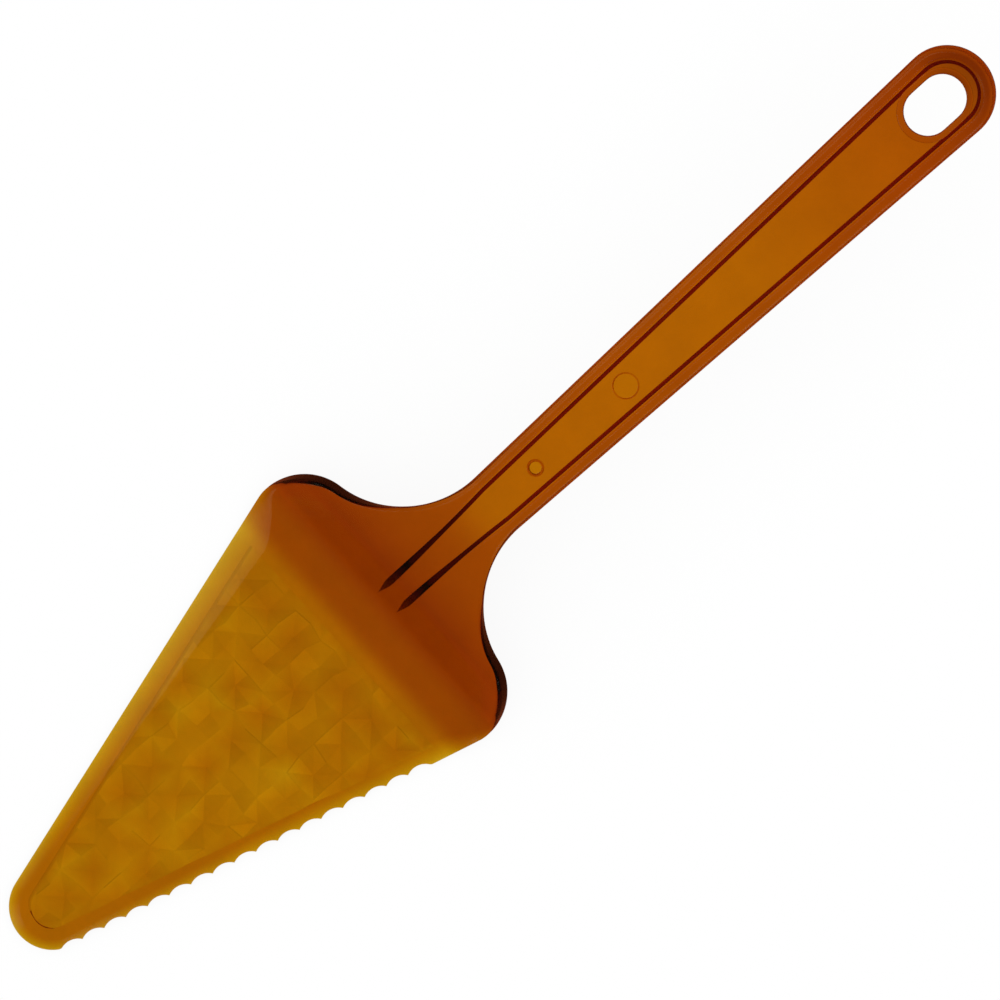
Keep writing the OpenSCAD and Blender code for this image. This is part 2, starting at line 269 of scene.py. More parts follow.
blade_len = (heel_x - tip_r * (1 - side_sin)) / side_cos
for e in spaced(blade_len - bevel_w * side_sin / side_cos - heel_gap, 0, plain_steps):
    side_stop(e, 1, bevel_w)
tip_turns = spaced(math.pi / 2 + side_a, first_bite_a, tip_steps)
tip_turns += spaced(first_bite_a, 1.5 * math.pi - side_a, first_bite_steps)
for a in tip_turns:
    arc_stop(tip_r, tip_r, a, "blade", 0, tip_bevel_w)
teeth_len = (len(tooth_rims) - 0.5) * tooth_pitch
last_len = blade_len - tooth_bevel_w * side_sin / side_cos - heel_gap
for e in spaced(0, teeth_len, tooth_steps) + spaced(teeth_len, last_len, last_steps, ends=True):
    side_stop(e, -1, tooth_bevel_w)
blade_stops = len(stops)
print(blade_stops, "stops round the blade")

# %% Stops round the shoulder and the handle
heel_steps, shoulder_steps, flare_steps, rib_steps, handle_steps, end_steps = 6, 30, 30, 10, 16, 44
stations = spaced(heel_x, side_end_x, heel_steps)
shoulder_turns = spaced(math.pi / 2 + side_a, flare_a, shoulder_steps)
stations += [shoulder_x + shoulder_r * math.cos(a) for a in shoulder_turns]
flare_turns = spaced(math.pi + flare_a, 1.5 * math.pi, flare_steps, ends=True)
stations += [flare_x + flare_r * math.cos(a) for a in flare_turns]
stations += spaced(rib_x, rib_x + rib_run, rib_steps)
stations += [recess_x, crank_x, bend_end.x, knee_start.x, knee_end.x]
stations = sorted(set(round(x, 4) for x in stations))
stations += spaced(flare_x, rail_stop_x, handle_steps)[1:]
for x in stations:
    stop(x, -half_w(x), (0, 1), "grip", x, tooth_bevel_w / side_cos)
for a in spaced(-math.pi / 2 - taper_a, math.pi / 2 + taper_a, end_steps, ends=True):
    arc_stop(end_x, end_r, a, "grip", rail_stop_x)
for x in reversed(stations):
    stop(x, half_w(x), (0, -1), "grip", x, bevel_w / side_cos)
print(len(stops), "stops in all")

# %% [markdown]
# ## The edge profile
#
# At each stop the skin goes from the underside round the outer edge to the top. On the blade this is a
# short upright wall and a long bevel, and on the handle it is two roundings. A Bevel modifier gives one
# width all the way and can't turn the one into the other. So each stop gets its own profile, and all have
# as many points. A point is a pair: how far in from the edge, and how high.

# %% Profile of the outer edge
edge_t, least_r, rail_top_r = 0.95, 0.12, 1.1
crown_w, crown_h, crown_power = 1.4, 1.1, 1.15
foot_w, brow_w, bevel_end_drop = 0.3, 0.08, 0.03
low_points, top_points = 5, 14


def outer_profile(at):
    """From the underside round the edge to the top, with the ends of the bevel a little low."""
    x, cut, wide = at["x"], at["cut"], at["wide"]
    on_grip = at["region"] == "grip"
    rail_share = ease(x, heel_x, bend_end.x) if on_grip else 0.0
    t = thick(x) if on_grip else blade_t
    low = mix(least_r, rail_low_r, rail_share)
    points = [(low + foot_w, 0.0)]
    for i in range(low_points):
        a = math.pi / 2 * i / (low_points - 1)
        points.append((low - low * math.sin(a), low - low * math.cos(a)))
    points = [(cut + o, h) for o, h in points]
    rise = (blade_t - edge_t) / wide if wide else 0.0
    crown = ease(x, knee_end.x, flare_x)
    fall, drop = mix(rail_top_r, crown_w, crown), mix(rail_top_r, crown_h, crown)
    power = mix(1.0, crown_power, crown)
    for i in range(top_points):
        part = i / (top_points - 1)
        a = math.pi / 2 * part
        end_drop = bevel_end_drop * (1 - min(1, 5 * part)) + bevel_end_drop * max(0, 5 * part - 4)
        o_bevel = mix(cut, wide, part)
        bevel = (o_bevel, t - blade_t + edge_t + o_bevel * rise - end_drop)
        curve = (fall * (1 - abs(math.cos(a)) ** power), t - drop * (1 - math.sin(a) ** power))
        points.append((mix(bevel[0], curve[0], rail_share), mix(bevel[1], curve[1], rail_share)))
    points.append((points[-1][0] + brow_w, t))
    return points


outer = [outer_profile(s) for s in stops]
print(len(outer[0]), "points in each profile of the edge")

# %% Profiles of the recess wall and of a rib
wall_a, wall_top_r, wall_foot_r, wall_foot_w, wall_steps = math.radians(36), 0.8, 0.06, 0.05, 5
wall_w = (rail_t - panel_t) * math.tan(wall_a)
rib_draft_a, rib_root_r, rib_edge_r = math.radians(2), 0.06, 0.12
round_mid = 0.3


def inner_profile(x):
    """From the top of a rail down to the panel, rounded at the wall's top and a little at its foot."""
    high, low = thick(x), floor_t(x)
    run = wall_w * (high - low) / (rail_t - panel_t)
    r1, r2 = min(wall_top_r, 0.6 * (high - low)), min(wall_foot_r, 0.1 * (high - low))
    tilt = math.pi / 2 - wall_a
    foot_o = rib_faces(x)[0]
    top_c = foot_o - run - r1 * math.tan(tilt / 2)
    foot_c = foot_o + r2 * math.tan(tilt / 2)
    turns = [tilt * i / wall_steps for i in range(wall_steps + 1)]
    points = [(top_c + r1 * math.sin(a), high - r1 + r1 * math.cos(a)) for a in turns]
    points += [(foot_c - r2 * math.sin(a), low + r2 - r2 * math.cos(a)) for a in reversed(turns)]
    return points + [(foot_c + min(wall_foot_w, r2), low)]


def rib_profile(x):
    """From the underside of a rail down one side of the rib and up the other to that of the panel."""
    outer_face, inner_face, deep, grown = rib_faces(x)
    c, half = (outer_face + inner_face) / 2, (inner_face - outer_face) / 2 * grown
    low = max(0.0, half - deep * math.tan(rib_draft_a))
    r1, r2 = min(rib_root_r, 0.3 * half), min(rib_edge_r, 0.5 * low)
    side = [(-half - r1, 0.0), (-half - round_mid * r1, -round_mid * r1), (-half, -r1)]
    side += [(-low, -deep + r2), (-low + round_mid * r2, -deep + round_mid * r2), (-low + r2, -deep)]
    return [(c + o, h) for o, h in side] + [(c - o, h) for o, h in reversed(side)]


print(len(inner_profile(flare_x)), "points down a recess wall,", len(rib_profile(flare_x)), "round a rib")

# %% [markdown]
# ## Raising the edge of the blank
#
# The lowest loop is drawn as a few hundred vertices. Each further loop is an extrusion of the one before,
# moved to the next point of the profile. This is how a modeller would pull an edge up and in by hand. The
# attribute "facet" is made first, because a new layer would make any face that was kept in a list before it
# invalid.

# %% Loops round the edge
bm = bmesh.new()
painted_shade_and_tone = bm.faces.layers.float.new("facet")


def drawn(points, closed=True):
    """Vertices at these points with an edge from each to the next."""
    verts = [bm.verts.new(p) for p in points]
    for a, b in zip(verts, verts[1:] + verts[:1] if closed else verts[1:]):
        bm.edges.new((a, b))
    return verts


def edges_along(verts, closed=False):
    """The edges between neighbours in a line of vertices."""
    return [bm.edges.get(pair) for pair in zip(verts, verts[1:] + verts[:1] if closed else verts[1:])]


def pulled(verts, points, closed=True):
    """Extrudes the line of vertices once and moves the copy to these points."""
    made = bmesh.ops.extrude_edge_only(bm, edges=edges_along(verts, closed))["geom"]
    fresh = {v for v in made if isinstance(v, bmesh.types.BMVert)}
    copies = [next(e.other_vert(v) for e in v.link_edges if e.other_vert(v) in fresh) for v in verts]
    for v, p in zip(copies, points):
        v.co = p
    return copies


def placed(at, pair):
    """The pair of a profile as a point of the blank."""
    p = at["p"] + at["n"] * pair[0]
    return Vector((p.x, p.y, pair[1]))


foot = brow = drawn([placed(s, q[0]) for s, q in zip(stops, outer)])
for k in range(1, len(outer[0])):
    brow = pulled(brow, [placed(s, q[k]) for s, q in zip(stops, outer)])
print(len(bm.faces), "faces round the edge")

# %% [markdown]
# ## The recess and the ribs
#
# The recess between the rails runs out on the shoulder and goes round the hanging slot at the other end.
# Below it two ribs stiffen the handle. They start as points under the ramp and also go round the slot.
# Booleans could cut the one and add the others, but they leave slivers, which show in clear plastic. So
# walls and ribs are extruded in the same way as the edge, along the stops behind their starts. Where they
# have no height their points fall together, and merging doubles closes the skin there.

# %% Recess walls and ribs
tiny = 1e-6


def behind(start):
    """The stops of shoulder and handle from this place on."""
    return [i for i, s in enumerate(stops) if s["region"] == "grip" and s["x"] >= start - tiny]


def rows(edge, which, profile):
    """Extrudes the edge loop at these stops through the points of a profile."""
    shapes = [profile(stops[i]["x"]) for i in which]
    line, made = [edge[i] for i in which], []
    for k in range(len(shapes[0])):
        line = pulled(line, [placed(stops[i], q[k]) for i, q in zip(which, shapes)], closed=False)
        made.append(line)
    return made


sunk, ribbed = behind(recess_x), behind(rib_x)
walls = rows(brow, sunk, inner_profile)
ribs = rows(foot, ribbed, rib_profile)
print("recess wall:", len(walls), "rows of", len(sunk), "points; ribs:", len(ribs), "rows of", len(ribbed))

# %% [markdown]
# ## The slot and the moulding marks
#
# The hanging slot goes through the panel near its end and has a low rounded rim. Nearer the neck the panel
# has two round marks: a small deep one where the plastic was let into the mould, and a wider shallow one
# from the pin that pushed the part out. Each has a low burr. All three are loops, pulled through a path as
# the edge was.

# %% Slot
slot_w, slot_l, slot_gap = 10.0, 14.4, 6.3
slot_x = flare_x + handle_l - slot_gap - slot_w / 2
lip, collar_w, collar_h, collar_fall = 0.3, 1.1, 0.3, 0.9
slot_foot_w, joint_w = 0.08, 0.06
slot_steps, lip_steps = 20, 4


def capsule(a, b, r, n=slot_steps):
    """Points round a slot with round ends, from a to b along the handle."""
    turns = spaced(-math.pi / 2, math.pi / 2, n, ends=True)
    return ([Vector((b + r * math.cos(t), r * math.sin(t), 0)) for t in turns]
            + [Vector((a - r * math.cos(t), -r * math.sin(t), 0)) for t in turns])


def raised(points, h):
    """The same points at the height h."""
    return [Vector((p.x, p.y, h)) for p in points]


def slot_loop(out, h):
    """Points round the slot, this far outside its edge."""
    return raised(capsule(slot_x - slot_l + slot_w, slot_x, slot_w / 2 + out), h)


lip_turns = [math.pi / 2 * i / lip_steps for i in range(lip_steps + 1)]
slot_path = [(lip + slot_foot_w, 0.0)]
slot_path += [(lip - lip * math.sin(a), lip - lip * math.cos(a)) for a in lip_turns]
slot_path += [(lip - lip * math.cos(a), panel_t + collar_h - lip + lip * math.sin(a)) for a in lip_turns]
slot_path += [(collar_w + collar_fall * collar_h * math.sin(a), panel_t + collar_h * math.cos(a))
              for a in lip_turns]
slot_path += [(collar_w + collar_h + joint_w, panel_t)]
slot_low = slot_high = drawn(slot_loop(*slot_path[0]))
for out, h in slot_path[1:]:
    slot_high = pulled(slot_high, slot_loop(out, h))
print(f"slot {slot_w:.1f} by {slot_l:.1f} mm, {len(slot_path)} loops")

# %% Moulding marks
gate_x, gate_d, gate_depth, gate_burr_w, gate_burr_h = 11.5, 2.7, 0.35, 0.5, 0.7
ejector_x, ejector_d, ejector_depth, ejector_burr_w, ejector_burr_h = 37.0, 5.3, 0.15, 0.22, 0.3
burr_shape = ((1.0, 0.1), (0.8, 0.8), (0.6, 1.0), (0.3, 1.0), (0.1, 0.8))
mark_shape = ((-0.1, -0.9), (-0.2, -1.0))
mark_steps = 14


def dimple(x, d, depth, burr_w, burr_h):
    """A shallow round mark sunk into the panel inside a low burr; returns the loop that joins the panel."""
    path = [(burr_w + joint_w, 0.0)]
    path += [(w * burr_w, h * burr_h) for w, h in burr_shape]
    path += [(w, h * depth) for w, h in mark_shape]
    first = last = drawn(raised(capsule(x, x, d / 2 + path[0][0], mark_steps), panel_t))
    for out, h in path[1:]:
        last = pulled(last, raised(capsule(x, x, d / 2 + out, mark_steps), panel_t + h))
    bmesh.ops.contextual_create(bm, geom=edges_along(last, True))
    return first


gate = dimple(flare_x + gate_x, gate_d, gate_depth, gate_burr_w, gate_burr_h)
ejector = dimple(flare_x + ejector_x, ejector_d, ejector_depth, ejector_burr_w, ejector_burr_h)
print(f"two marks, {gate_d} and {ejector_d} mm across")

# %% [markdown]
# ## Closing the top and the underside
#
# One big face could close the top, but it would not bend. So across the shoulder the skin is made of strips
# from side to side. Along the straight handle, and on the blade, it stays flat, and a few large faces do
# the rest. On the handle they meet in the middle and leave out the slot and the marks.

# %% Strips across the shoulder
grip = range(blade_stops, len(stops))
pairs = [(i, j) for i, j in zip(grip, reversed(grip)) if stops[i]["x"] <= flare_x + tiny and i < j]


def strip(lefts, rights):
    """Quads between two lines of vertices that face each other."""
    for a, b, c, d in zip(lefts, lefts[1:], rights[1:], rights):
        bm.faces.new((a, b, c, d))


inner_lines = []
for edge, start, which, made in ((brow, recess_x, sunk, walls), (foot, rib_x, ribbed, ribs)):
    row_of = {i: k for k, i in enumerate(which)}
    first = [(i, j) for i, j in pairs if stops[i]["x"] < start - tiny]
    rest = [(i, j) for i, j in pairs if stops[i]["x"] >= start - tiny]
    (i0, j0), (i1, j1) = first[-1], rest[0]
    strip([edge[i] for i, j in first], [edge[j] for i, j in first])
    mouth = [w[row_of[i1]] for w in made] + [w[row_of[j1]] for w in reversed(made)]
    bm.faces.new([edge[i0], edge[i1], *mouth, edge[j1], edge[j0]])
    strip([made[-1][row_of[i]] for i, j in rest], [made[-1][row_of[j]] for i, j in rest])
    i, j = rest[-1]
    inner_lines.append([made[-1][row_of[k]] for k in range(i, j + 1)])
print(len(pairs), "strips across the shoulder")

# %% Flat faces of the panel and the blade
flat_faces = []


def halves(line, rings):
    """Two flat faces, one on each side of the middle of the handle, that leave out the rings along it."""
    low, high = [line[0]], [line[0]]
    for ring in rings:
        right = len(ring) // 4
        left = right + len(ring) // 2
        low += ring[left:] + ring[:right + 1]
        high += ring[right:left + 1][::-1]
    mid = len(line) // 2
    flat_faces.append(bm.faces.new(low + line[1:mid + 1][::-1]))
    flat_faces.append(bm.faces.new(high + line[mid:]))


for line, rings in zip(inner_lines, ([gate, ejector, slot_high], [slot_low])):
    halves(line, rings)
round_blade = [len(stops) - 1] + list(range(blade_stops + 1))
flat_faces.append(bm.faces.new([brow[k] for k in round_blade]))
print(len(flat_faces), "flat faces on the panel, under it and on the blade")

# %% [markdown]
# ## The field of pyramids
#
# The underside of the blade is moulded with rows of square pyramids, which make the plastic glitter. A bump
# texture would shade them, but it would not bend the light that passes through. So a flat face in the shape
# of the field is cut along the grooves, the diagonals and the middle lines of the squares, and each corner
# goes up by its distance from the middle of its square. The field sinks deeper half way along and runs out
# towards the heel.

# %% Plan and heights of the field
cell, cell_h = 8.0, 0.22
field_m, field_tooth_m, field_heel_m, plan_steps = 4.6, 3.4, 0.8, 24
field_end_x = heel_x - field_heel_m
tip_lift, middle_lift, heel_loss = 0.14, 0.22, 0.9
lift_from, lift_to, loss_from, loss_to = 15, 45, 58, 88


def field_plan():
    """Corners of the field: two at the heel, the rest round the tip."""
    r = tip_r - field_m
    turns = spaced(math.pi / 2 + side_a, 1.5 * math.pi - side_a, plan_steps, ends=True)
    at_heel = [(field_end_x, -side_y(field_end_x, field_tooth_m)),
               (field_end_x, side_y(field_end_x, field_m))]
    return at_heel + [(tip_r + r * math.cos(a), r * math.sin(a)) for a in turns]


def inset(x, y):
    """How far a place in the field lies from its border."""
    return min(field_end_x - x, (side_y(x, field_m) - y) * side_cos,
               (side_y(x, field_tooth_m) + y) * side_cos, x - field_m)


def pyramid_h(x, y):
    """How far the underside is sunk at a place in the field."""
    u = abs((x / cell) % 1.0 - 0.5)
    v = abs((y / cell + 0.5) % 1.0 - 0.5)
    lift = mix(tip_lift, middle_lift, ease(x, lift_from, lift_to))
    lift *= 1 - heel_loss * ease(x, loss_from, loss_to)
    return lift + 2 * cell_h * max(u, v)


print(f"squares of {cell:.0f} mm, {cell_h} mm from the middle of a pyramid to its grooves")


# %% Cutting the field into facets
def faces_in(geom):
    """Only the faces of what an operator has made."""
    return [g for g in geom if isinstance(g, bmesh.types.BMFace)]


columns, half_rows = math.ceil(2 * heel_x / cell), math.ceil(blade_w / cell) + 1
diagonals = range(-2, math.ceil((heel_x + blade_w / 2) / cell) + 2)
cuts = [((1, 0, 0), cell * i / 2) for i in range(1, columns + 1)]
cuts += [((0, 1, 0), cell * i / 2) for i in range(-half_rows, half_rows)]
for across in ((1, 1, 0), (1, -1, 0)):
    cuts += [(across, cell * (i + 0.5)) for i in diagonals]
field = [bm.faces.new([bm.verts.new((x, y, 0)) for x, y in field_plan()])]
for normal, c in cuts:
    n = Vector(normal)
    geom = list({g for f in field for g in (f, *f.edges, *f.verts)})
    made = bmesh.ops.bisect_plane(bm, geom=geom, plane_co=n * (c / n.length_squared), plane_no=n, dist=1e-5)
    field = faces_in(made["geom"])
print(len(field), "facets after", len(cuts), "cuts")

# %% [markdown]
# A wall goes down from the border of the field to the flat margin. It stands upright at the heel and on the
# scalloped side. On the plain side, and in an arc at the tip, it is a narrow slope. The border is extruded
# once, and the new edge moves outwards by the width of the slope there.

# %% Wall and slope round the field
slope_w, tip_slope_w, tip_slope_a = 0.7, 0.2, math.radians(205)
plain_from, plain_to, tip_from, tip_to, faces_heel = 0.2, 0.9, 5, 9, 0.1
border = [e for f in field for e in f.edges if len(e.link_faces) == 1]
made = bmesh.ops.extrude_edge_only(bm, edges=border)["geom"]
rim_edges = [g for g in made if isinstance(g, bmesh.types.BMEdge) and len(g.link_faces) == 1]
border_slope = faces_in(made)
outward = {}
for e in rim_edges:
    a, b = e.verts
    side = Vector((b.co.y - a.co.y, a.co.x - b.co.x, 0)).normalized()
    if side.dot((a.co + b.co) / 2 - Vector((heel_x / 2, 0, 0))) < 0:
        side = -side
    for v in (a, b):
        outward[v] = outward.get(v, Vector()) + side
tip_line = Vector((math.cos(tip_slope_a), math.sin(tip_slope_a), 0))
for v, side in outward.items():
    side.normalize()
    plain_w = slope_w * ease(side.y, plain_from, plain_to)
    if side.x > faces_heel:
        v.co.y += plain_w / side_cos
        continue
    tip_w = tip_slope_w * max(0, side.dot(tip_line)) ** 2 * (1 - ease(v.co.x, tip_from, tip_to))
    v.co += side * (plain_w + tip_w)
print(len(border_slope), "faces from the field down to the margin")

# %% [markdown]
# The real facets aren't even, as on a hand-cut mould: corners lie a little deeper or shallower and off
# their places, and some grooves have a narrow flat bottom. Each draw is seeded and goes through the
# corners, edges and facets in the order of their places, so every run gives the same field. Near the border
# the corners keep calm, because a steep facet there would show as a dark sliver.


# %% Uneven grooves and corners
def plan_key(p):
    """Sorts by place, so that a draw always falls on the same corner, edge or facet."""
    return round(p.x, 3), round(p.y, 3)


def face_key(f):
    return plan_key(f.calc_center_median())


def edge_key(e):
    return plan_key((e.verts[0].co + e.verts[1].co) / 2)


on_line = 1e-3
groove_odds_tip, groove_odds_heel, odds_from, odds_to = 0.15, 0.55, 20, 65
depth_spread, least_depth, calm_w = 0.12, 0.02, 2.5
deep_corner, deep_odds, sideways, sideways_share = 0.24, 0.15, 0.6, 0.4
draw = random.Random(7)
fixed = {v for e in border for v in e.verts}
grooves = []
for e in sorted({e for f in field for e in f.edges}, key=edge_key):
    a, b = (v.co for v in e.verts)
    along = abs(a.y - b.y) < on_line and abs((a.y / cell) % 1.0 - 0.5) < on_line
    across = abs(a.x - b.x) < on_line and abs((a.x / cell + 0.5) % 1.0 - 0.5) < on_line
    if (along or across) and not fixed & set(e.verts):
        if draw.random() < mix(groove_odds_tip, groove_odds_heel, ease(a.x, odds_from, odds_to)):
            grooves.append(e)
for v in sorted({v for f in field for v in f.verts}, key=lambda v: plan_key(v.co)):
    from_border = inset(v.co.x, v.co.y)
    calm = ease(from_border, 0, calm_w)
    v.co.z = max(least_depth, pyramid_h(v.co.x, v.co.y) + calm * draw.uniform(-depth_spread, depth_spread))
    if v not in fixed:
        v.co.z += deep_corner * calm * (draw.random() < deep_odds)
        shift = Vector((draw.uniform(-1, 1), draw.uniform(-1, 1), 0))
        v.co += min(sideways, sideways_share * from_border) * shift
print(len(grooves), "stretches of groove will get a flat bottom")

# %% [markdown]
# Each facet also gets a shade of its own, kept in the attribute "facet", which the material reads. It is
# painted glitter: painted light on the side of a pyramid that faces the light, and a painted shade that
# differs from facet to facet. The ribs' starts get a painted shade, because little light reaches them under
# the ramp, and the slope round the field a painted darker line. The margin is a little darker along the
# scallops. The grooves' flat bottoms come from a bevel of their edges and get a painted shade too.

# %% Painted shade of the ribs and the facets
light_way = Vector((-0.35, 0.94))
rib_painted_shade_plain, rib_painted_shade_tooth, rib_painted_shade_to, rib_painted_shade_end = 0.1, 0.2, rib_x + 16, rib_x + 40
facet_painted_shade, facet_painted_light, facet_painted_spread, slope_painted_shade, rib_below = 0.86, 0.07, 0.12, 0.7, -0.02


def lit(p):
    """1 on the side of a pyramid that faces the light, -1 on the far side."""
    d = Vector(((p.x / cell) % 1.0 - 0.5, (p.y / cell + 0.5) % 1.0 - 0.5))
    return d.normalized().dot(light_way)


for f in bm.faces:
    f[painted_shade_and_tone] = 1.0
    middle = f.calc_center_median()
    # The ribs' starts under the ramp get a painted shade.
    if middle.z < rib_below:
        rib_painted_shade = rib_painted_shade_plain if middle.y > 0 else rib_painted_shade_tooth
        f[painted_shade_and_tone] = mix(rib_painted_shade, 1.0, ease(middle.x, rib_painted_shade_to, rib_painted_shade_end))
# Painted glitter: painted light on the lit side of each pyramid, and a painted shade that differs from facet
# to facet.
for f in sorted(field, key=face_key):
    facing = facet_painted_light * lit(f.calc_center_median())
    f[painted_shade_and_tone] = facet_painted_shade + facing + draw.uniform(-facet_painted_spread, facet_painted_spread)
# The slope round the field gets a painted shade, a darker line.
for f in border_slope:
    f[painted_shade_and_tone] = slope_painted_shade
shades = [f[painted_shade_and_tone] for f in bm.faces]
print(f"shades from {min(shades):.2f} to {max(shades):.2f}")

# %% Flat bottoms of the grooves
groove_half_w, groove_painted_dark, groove_painted_light, field_low, field_top = 0.15, 0.58, 0.84, 0.005, 0.9
made = bmesh.ops.bevel(bm, geom=grooves, offset=groove_half_w, offset_type="OFFSET", segments=1, profile=0.5,
                       affect="EDGES", clamp_overlap=True, material=-1)
# The grooves' flat bottoms get a painted shade, darker than the facets.
for f in sorted(made["faces"], key=face_key):
    f[painted_shade_and_tone] = draw.uniform(groove_painted_dark, groove_painted_light)
field = []
for f in bm.faces:
    middle = f.calc_center_median()
    if field_low < middle.z < field_top and inset(middle.x, middle.y) > 0:
        field.append(f)
flat_faces += field + border_slope
print(len(field), "facets in the field")

# %% Margin round the field
margin_shade, margin_half = 0.92, 6
chain = edges_along([foot[k] for k in round_blade] + [foot[round_blade[0]]])
made = bmesh.ops.triangle_fill(bm, use_beauty=True, use_dissolve=False, edges=chain + rim_edges)["geom"]
margin = faces_in(made)
for f in margin:
    f[painted_shade_and_tone] = mix(margin_shade, 1.0, ease(f.calc_center_median().y, -margin_half, margin_half))
flat_faces += margin
print(len(margin), "faces in the margin")

# %% [markdown]
# ## Bending the blank
#
# Doubles are merged, each vertex goes to its bent place, and the faces are turned outwards. Flat faces stay
# flat in the shading, and the rest is smooth with sharp creases kept. A Weighted Normal modifier lets the
# large faces set the shading, so that the narrow roundings don't tilt it.

# %% Finished skin
merge_d, crease_a = 1e-4, math.radians(32)
flat_marks = [f for f in flat_faces if f.is_valid]
for f in bm.faces:
    f.smooth = True
for f in flat_marks:
    f.smooth = False
bmesh.ops.remove_doubles(bm, verts=bm.verts, dist=merge_d)
bmesh.ops.dissolve_degenerate(bm, dist=merge_d, edges=bm.edges)
for v in bm.verts:
    v.co = bent(v.co)
bmesh.ops.recalc_face_normals(bm, faces=bm.faces)
if bm.calc_volume(signed=True) < 0:
    bmesh.ops.reverse_faces(bm, faces=bm.faces)
loose = [e for e in bm.edges if len(e.link_faces) != 2]
print(f"{len(bm.faces)} faces, {len(loose)} open edges, {bm.calc_volume() * 1e6:.2f} cm3")
mesh = bpy.data.meshes.new("server")
bm.to_mesh(mesh)
bm.free()
mesh.set_sharp_from_angle(angle=crease_a)
server = bpy.data.objects.new("server", mesh)
bpy.context.scene.collection.objects.link(server)
even = server.modifiers.new("even_shading", "WEIGHTED_NORMAL")
even.mode = "FACE_AREA"
even.keep_sharp = True

# %% [markdown]
# ## Amber plastic
#
# Colour in a clear plastic comes from depth: light loses blue first, then green, the longer it travels
# inside. A painted colour would be the same in thin and thick places. Volume Absorption isn't, so thin
# places turn gold and thick ones brown. The surface itself is clear and glossy. No moulding is quite even:
# broad flow marks and a fine grain shade the surface a little, and handling has dulled the gloss in places.
# The attribute "facet" adds painted shade: painted glitter on the facets, and painted shade on the ribs'
# starts, the grooves and the slope round the field, besides a slightly darker margin along the scallops.


# %% Helpers for node trees
def feed(socket, value):
    """Links another node's socket to this one, or sets a plain value."""
    if isinstance(value, bpy.types.NodeSocket):
        links.new(value, socket)
    else:
        socket.default_value = value


def map_range(value, low, high, start=0.0, end=1.0):
    """Stretches what runs from start to end, so that it runs from low to high."""
    span = nodes.new("ShaderNodeMapRange")
    span.inputs["From Min"].default_value = start
    span.inputs["From Max"].default_value = end
    feed(span.inputs["To Min"], low)
    feed(span.inputs["To Max"], high)
    feed(span.inputs["Value"], value)
    return span.outputs["Result"]


def math_node(operation, a, b):
    """Two values joined by an operation."""
    both = nodes.new("ShaderNodeMath")
    both.operation = operation
    feed(both.inputs[0], a)
    feed(both.inputs[1], b)
    return both.outputs["Value"]


def colour_mix(factor, a, b):
    """Colour a where the factor is 0, colour b where it is 1."""
    blend = nodes.new("ShaderNodeMix")
    blend.data_type = "RGBA"
    feed(blend.inputs["A"], a)
    feed(blend.inputs["B"], b)
    feed(blend.inputs["Factor"], factor)
    return blend.outputs["Result"]


# %% Amber material
amber = bpy.data.materials.new("amber")
amber.use_nodes = True
nodes, links = amber.node_tree.nodes, amber.node_tree.links
skin = nodes["Principled BSDF"]
skin.inputs["Transmission Weight"].default_value = 1.0
skin.inputs["IOR"].default_value = 1.55
place = nodes.new("ShaderNodeTexCoord")
noise_low, noise_high, noise_detail = 0.3, 0.7, 3


def unevenness(scale, low, high):
    """Noise in the plastic, stretched to run from low to high."""
    noise = nodes.new("ShaderNodeTexNoise")
    noise.inputs["Scale"].default_value = scale
    noise.inputs["Detail"].default_value = noise_detail
    links.new(place.outputs["Object"], noise.inputs["Vector"])
    return map_range(noise.outputs["Fac"], low, high, noise_low, noise_high)


flow_marks, grain, gloss = unevenness(110, 0.9, 1.0), unevenness(700, 0.95, 1.0), unevenness(90, 0.09, 0.15)
facet = nodes.new("ShaderNodeAttribute")
facet.attribute_name = "facet"
# The clearness also carries the painted shade of the attribute "facet".
clearness_and_painted_shade = math_node("MULTIPLY", math_node("MULTIPLY", flow_marks, grain), facet.outputs["Fac"])
links.new(colour_mix(clearness_and_painted_shade, (0.05, 0.02, 0.01, 1), (1.0, 1.0, 0.92, 1)), skin.inputs["Base Color"])
links.new(gloss, skin.inputs["Roughness"])
depth = nodes.new("ShaderNodeVolumeAbsorption")
depth.inputs["Color"].default_value = (0.94, 0.82, 0.0, 1)
depth.inputs["Density"].default_value = 4600.0
links.new(depth.outputs["Volume"], nodes["Material Output"].inputs["Volume"])
mesh.materials.append(amber)
print(len(nodes), "nodes in the amber plastic")

# %% The skin in the frame
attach(server, "root")
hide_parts("blade", "shoulder", "left_rail", "right_rail", "handle_panel", "hanging_loop")
print("one piece,", server.name, "stands for six nodes")

# %% [markdown]
# ## Floor
#
# The server lies on a plain white sheet. A sheet that is only lit comes out grey, so rays from the camera
# and rays through the plastic meet a paper that shines white, a little less right under the server: a painted
# shadow from an Ambient Occlusion node. Seen through the plastic, the paper is also tinted under the far end
# of the handle, where the real plastic is darker; the tint stands partly for that and is partly painted
# shade.
# In reflections the paper shines deep amber everywhere instead: a painted reflection of the amber glow
# that real paper has close to the plastic. All other rays meet matt paper.

# %% Floor
floor_half, floor_z = 12, -0.0002
bm = bmesh.new()
bmesh.ops.create_grid(bm, x_segments=1, y_segments=1, size=floor_half)
bmesh.ops.translate(bm, verts=bm.verts, vec=(0, 0, floor_z))
floor_mesh = bpy.data.meshes.new("floor")
bm.to_mesh(floor_mesh)
bm.free()
floor = bpy.data.objects.new("floor", floor_mesh)
bpy.context.scene.collection.objects.link(floor)
print(f"floor {2 * floor_half} m wide, {-floor_z * 1000:.1f} mm below the server")


